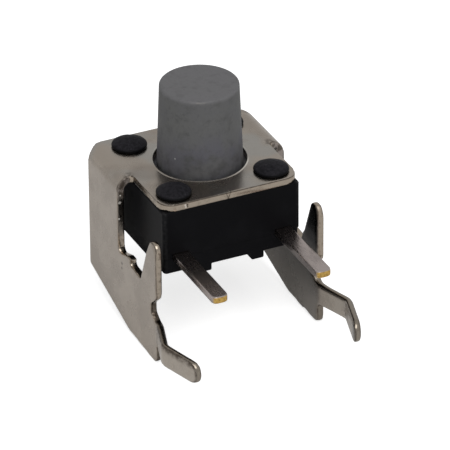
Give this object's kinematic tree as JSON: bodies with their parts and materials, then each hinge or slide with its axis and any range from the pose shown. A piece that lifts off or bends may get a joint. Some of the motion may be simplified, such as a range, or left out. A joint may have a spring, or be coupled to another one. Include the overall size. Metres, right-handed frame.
{
  "type": "right-angle tactile push button switch",
  "caption": "Board-mounted tactile push button switch: square moulded housing staked into a folded plated bracket with snap-in legs, round sprung button.",
  "frame": {"origin": "on the circuit board's face, midway between the two terminals, on their mid-plane", "axes": "+Z along the button's axis, away from the housing, so the button is pressed along -Z; +Y away from the board, -Y down through the board, where the terminals and legs point; +X across, to the right seen from the board's edge with the button up"},
  "size_m": [0.0084, 0.0104, 0.01],
  "materials": {
    "black_plastic": "black glass-filled nylon, moulded, slightly matte",
    "plated_steel": "nickel-tin plated sheet steel, satin, with bare sheared edges",
    "grey_plastic": "mid-grey moulded plastic, matte",
    "spring_steel": "stainless spring strip",
    "plated_brass": "silver plated brass strip, brass bare at the cut tips"
  },
  "bodies": {
    "switch_body": {"housing": "black_plastic", "bracket": "plated_steel", "snap_dome": "spring_steel", "terminal_rim": "plated_brass", "terminal_centre": "plated_brass"},
    "button": {"button": "grey_plastic"}
  },
  "joints": [
    {"name": "button_press", "type": "slide", "parent": "switch_body", "child": "button", "axis": [0, 0, -1], "range_m": [0, 0.00025], "stiffness_N_per_m": 5200, "deforming": ["snap_dome"]}
  ]
}
